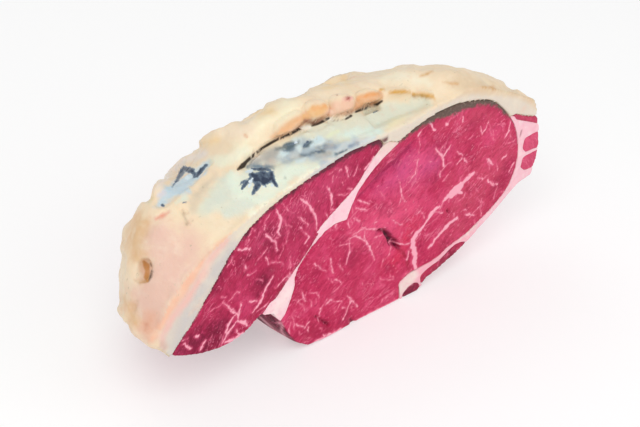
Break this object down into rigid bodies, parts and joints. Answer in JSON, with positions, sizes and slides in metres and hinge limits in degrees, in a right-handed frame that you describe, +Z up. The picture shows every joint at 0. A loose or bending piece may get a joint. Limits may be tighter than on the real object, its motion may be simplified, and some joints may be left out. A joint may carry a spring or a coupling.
{
  "type": "raw beef rump",
  "caption": "Raw boneless beef rump joint with a thick fat cover over two lean muscles, cut across so that its layers and seam fat show.",
  "frame": {"origin": "on the table under the middle of the joint's bounding box", "axes": "+X along the cut face, from the fat end to the thin flap end; +Y from the cut face into the joint; +Z up"},
  "size_m": [0.3412, 0.108, 0.1643],
  "materials": {
    "cover_fat": "cream beef fat, moist and waxy, with bared blue-grey membrane and navy patches",
    "cap_lean": "dark wine-red raw lean with pink marbling, moist",
    "main_lean": "crimson raw lean with pink marbling, moist",
    "seam_fat": "pale pink seam fat, moist",
    "dark_lean": "dark red raw lean, moist",
    "end_lean": "pink-red raw lean, moist"
  },
  "bodies": {
    "root": {"fat_cover": "cover_fat", "cap_muscle": "cap_lean", "main_muscle": "main_lean", "seam_fat": "seam_fat", "lower_fat": "seam_fat", "sliver_muscle": "dark_lean", "lean_tag": "dark_lean", "end_fat": "seam_fat", "end_lean_upper": "end_lean", "end_lean_lower": "end_lean", "end_lean_strip": "end_lean"}
  },
  "joints": []
}
